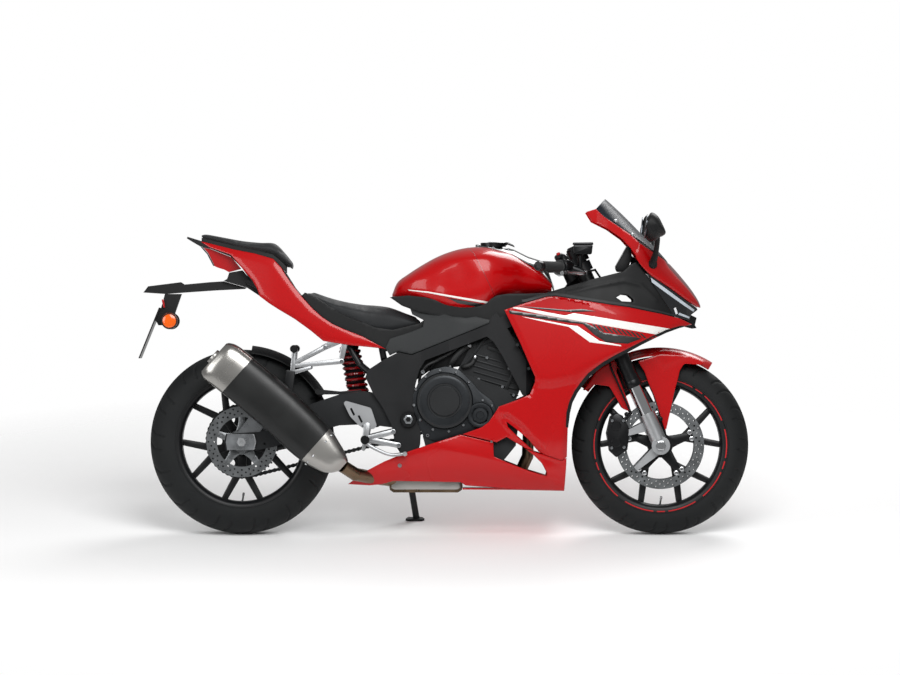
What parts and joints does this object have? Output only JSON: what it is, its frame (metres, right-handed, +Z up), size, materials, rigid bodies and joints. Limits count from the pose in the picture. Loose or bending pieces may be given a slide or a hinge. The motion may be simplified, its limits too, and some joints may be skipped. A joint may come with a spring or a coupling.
{
  "type": "sport bike",
  "caption": "Fully faired sport bike leaning on its side stand, with steering fork, wheels that turn, folding stand and hinged filler lid.",
  "frame": {"origin": "on the floor under the middle of the whole machine, which leans 10 degrees to its left on its side stand", "axes": "+X forward, +Y to the rider's left, +Z up from the floor"},
  "size_m": [2.0637, 0.7586, 1.1256],
  "materials": {
    "red_paint": "glossy red lacquer on moulded panels",
    "red_tank": "glossy red lacquer on a steel tank",
    "black_frame": "satin black powder coat on steel tube",
    "black_alloy": "black powder-coated cast alloy",
    "grey_alloy": "bead-blasted cast alloy",
    "engine_black": "satin black enamel on cast alloy",
    "dark_plastic": "grained black polypropylene",
    "gloss_black": "gloss black moulding",
    "seat_cover": "textured vinyl seat cover",
    "screen": "smoked clear polycarbonate over a red nose",
    "lamp_lens": "clear polycarbonate lamp lens",
    "red_lens": "red lamp lens",
    "tyre": "road tyre compound",
    "grip_rubber": "moulded grip rubber",
    "disc_steel": "ground stainless steel",
    "steel": "zinc-plated steel",
    "fork_outer": "black anodised tube",
    "silencer_steel": "heat-proof satin black over steel",
    "pipe_steel": "heat-tinted stainless pipe",
    "white_plate": "blank pressed sheet",
    "caliper_gold": "black anodised caliper"
  },
  "bodies": {
    "chassis": {"main_frame": "black_frame", "swingarm": "black_frame", "rear_axle": "steel", "shock_absorber": "black_frame", "chain": "steel", "rear_hugger": "dark_plastic", "engine": "engine_black", "radiator": "black_alloy", "exhaust_headers": "pipe_steel", "silencer": "silencer_steel", "tail_cowl": "red_paint", "tail_undertray": "dark_plastic", "tail_light": "red_lens", "plate_bracket": "dark_plastic", "number_plate": "white_plate", "rider_seat": "seat_cover", "pillion_seat": "seat_cover", "fuel_tank": "red_tank", "tank_cover": "gloss_black", "side_covers": "dark_plastic", "fairing_left": "red_paint", "fairing_right": "red_paint", "belly_pan": "red_paint", "nose_cowl": "red_paint", "windscreen": "screen", "headlight": "lamp_lens", "cockpit_panels": "dark_plastic", "mirrors": "dark_plastic", "footpeg_hangers": "grey_alloy", "foot_controls": "black_alloy"},
    "fork_assembly": {"front_fork": "fork_outer", "fork_sliders": "fork_outer", "front_mudguard": "red_paint", "front_brakes": "caliper_gold", "handlebars": "black_frame", "grips": "grip_rubber", "hand_controls": "black_alloy"},
    "front_wheel_assembly": {"front_wheel": "black_alloy", "front_tyre": "tyre", "front_discs": "disc_steel"},
    "rear_wheel_assembly": {"rear_wheel": "black_alloy", "rear_tyre": "tyre", "rear_disc_and_sprocket": "disc_steel"},
    "stand": {"side_stand": "black_frame"},
    "filler_lid": {"fuel_cap": "black_alloy"}
  },
  "joints": [
    {"name": "steering", "type": "hinge", "parent": "chassis", "child": "fork_assembly", "pos_m": [0.45893, -0.02828, 0.82358], "axis": [-0.4067, 0.1586, 0.8997], "range_deg": [-30, 30]},
    {"name": "front_wheel_spin", "type": "hinge", "parent": "fork_assembly", "child": "front_wheel_assembly", "pos_m": [0.7322, -0.12121, 0.2966], "axis": [0, 0.9848, -0.1736], "continuous": true},
    {"name": "rear_wheel_spin", "type": "hinge", "parent": "chassis", "child": "rear_wheel_assembly", "pos_m": [-0.6828, -0.11912, 0.30842], "axis": [0, 0.9848, -0.1736], "continuous": true},
    {"name": "side_stand_fold", "type": "hinge", "parent": "chassis", "child": "stand", "pos_m": [-0.1268, 0.02502, 0.21598], "axis": [0.063, 0.9783, 0.1973], "range_deg": [0, 98]},
    {"name": "filler_lid_hinge", "type": "hinge", "parent": "chassis", "child": "filler_lid", "pos_m": [0.2142, -0.0026, 0.96922], "axis": [0, 0.9848, -0.1736], "range_deg": [0, 85]}
  ]
}
